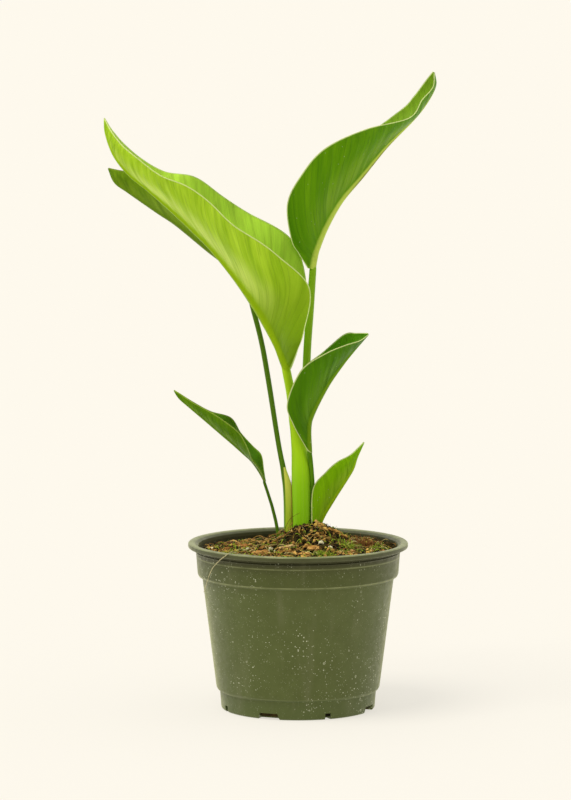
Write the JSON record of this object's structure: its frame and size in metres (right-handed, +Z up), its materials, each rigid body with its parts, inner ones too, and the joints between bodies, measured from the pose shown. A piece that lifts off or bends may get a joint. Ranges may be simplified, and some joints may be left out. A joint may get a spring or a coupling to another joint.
{
  "type": "potted bird of paradise",
  "caption": "Young bird of paradise plant: a fan of broad troughed leaves on grooved stalks, growing from heaped soil in a round plastic nursery pot.",
  "frame": {"origin": "centre of the pot's flat underside", "axes": "+Z up along the pot's axis; the fan of leaves spreads along X, the tall light leaf to -X and the tall dark leaf to +X; the front is -Y"},
  "size_m": [0.2467, 0.1646, 0.4752],
  "materials": {
    "pot_plastic": "satin moulded olive green plastic with dried water spots",
    "soil": "dark peat mix with fibres, matt",
    "root": "pale root, matt",
    "bark": "rough reddish brown bark",
    "perlite": "porous white grains",
    "moss": "soft green moss",
    "fibre": "tangled coconut fibre",
    "leaf": "satin living leaf with fine cross veins and a pale edge",
    "stalk": "satin living stalk with fine lengthwise ribs"
  },
  "bodies": {
    "root": {"nursery_pot": "pot_plastic", "potting_soil": "soil", "root_crown": "root", "tall_left_blade": "leaf", "tall_right_blade": "leaf", "rear_left_blade": "leaf", "mid_right_blade": "leaf", "low_left_blade": "leaf", "young_right_blade": "leaf", "tall_left_stalk": "stalk", "rear_left_stalk": "stalk", "tall_right_stalk": "stalk", "mid_right_stalk": "stalk", "low_left_stalk": "stalk", "bark_chip_01": "bark", "bark_chip_02": "bark", "bark_chip_03": "bark", "bark_chip_04": "bark", "bark_chip_05": "bark", "bark_chip_06": "bark", "bark_chip_07": "bark", "bark_chip_08": "bark", "bark_chip_09": "bark", "bark_chip_10": "bark", "bark_chip_11": "bark", "bark_chip_12": "bark", "perlite_grain_01": "perlite", "perlite_grain_02": "perlite", "perlite_grain_03": "perlite", "perlite_grain_04": "perlite", "perlite_grain_05": "perlite", "perlite_grain_06": "perlite", "moss_cushion_01": "moss", "moss_cushion_02": "moss", "moss_cushion_03": "moss", "moss_cushion_04": "moss", "moss_cushion_05": "moss", "moss_cushion_06": "moss", "fibre_tuft_01": "fibre", "loose_root": "root"}
  },
  "joints": []
}
